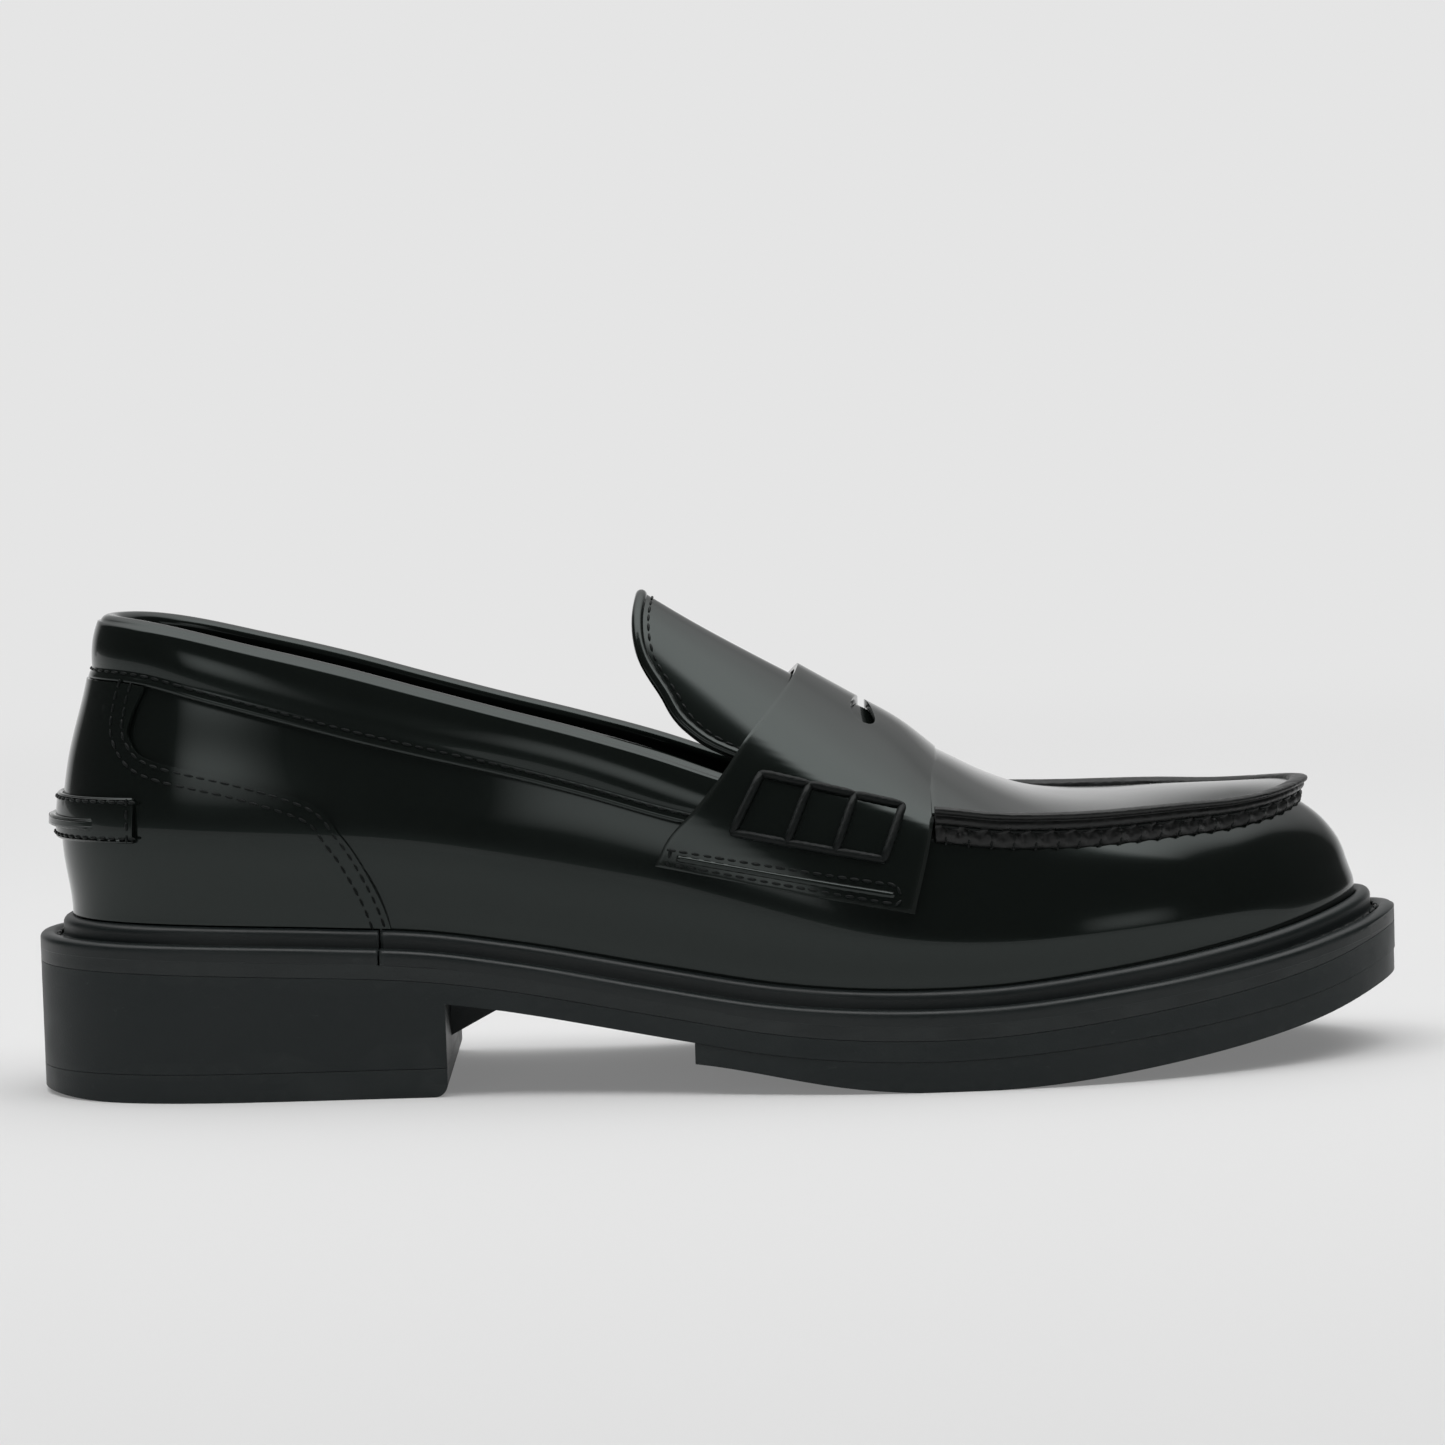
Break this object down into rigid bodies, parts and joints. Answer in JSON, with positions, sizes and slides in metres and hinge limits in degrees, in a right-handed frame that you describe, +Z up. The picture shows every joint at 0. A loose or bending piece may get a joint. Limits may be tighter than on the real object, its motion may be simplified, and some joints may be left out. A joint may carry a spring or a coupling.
{
  "type": "penny loafer",
  "caption": "Right-foot moccasin loafer with a slotted saddle strap, raised apron seam, heel strap, storm welt and rubber sole with a block heel.",
  "frame": {"origin": "middle of the footprint on the ground, under the sole", "axes": "+X towards the toe, +Y towards the inner side of the foot, +Z up"},
  "size_m": [0.2864, 0.104, 0.1018],
  "materials": {
    "sole_rubber": "matte moulded rubber",
    "welt_rubber": "satin rubber welt",
    "steel": "plain steel",
    "cork": "pressed cork granules",
    "leatherboard": "pressed leather board",
    "foam": "closed-cell foam",
    "lining_leather": "smooth lining leather",
    "suede": "suede grip",
    "upper_leather": "highly polished leather",
    "edge_leather": "folded and stitched leather edge",
    "puff": "stiffened cloth",
    "thread": "waxed thread"
  },
  "bodies": {
    "shoe": {"outsole": "sole_rubber", "forefoot_tread": "sole_rubber", "top_lift": "sole_rubber", "midsole": "sole_rubber", "storm_welt": "welt_rubber", "heel_rand": "welt_rubber", "heel_nails": "steel", "shank": "steel", "cork_filler": "cork", "insole_board": "leatherboard", "heel_stiffener": "leatherboard", "foam_cushion": "foam", "collar_padding": "foam", "sock_liner": "lining_leather", "vamp_lining": "lining_leather", "quarter_lining": "lining_leather", "apron_lining": "lining_leather", "heel_grip": "suede", "vamp": "upper_leather", "apron": "upper_leather", "collar_band": "upper_leather", "heel_counter": "upper_leather", "kicker_strap": "upper_leather", "kicker_ridge": "upper_leather", "saddle_strap": "upper_leather", "apron_lip": "edge_leather", "topline_binding": "edge_leather", "toe_puff": "puff", "welt_thread": "thread"},
    "tongue": {"tongue": "upper_leather", "tongue_lining": "lining_leather", "tongue_binding": "edge_leather"}
  },
  "joints": [
    {"name": "tongue_lift", "type": "hinge", "parent": "shoe", "child": "tongue", "pos_m": [0.018, 0, 0.08], "axis": [0, 1, 0], "range_deg": [-6, 15], "stiffness_Nm_per_rad": 0.08}
  ]
}
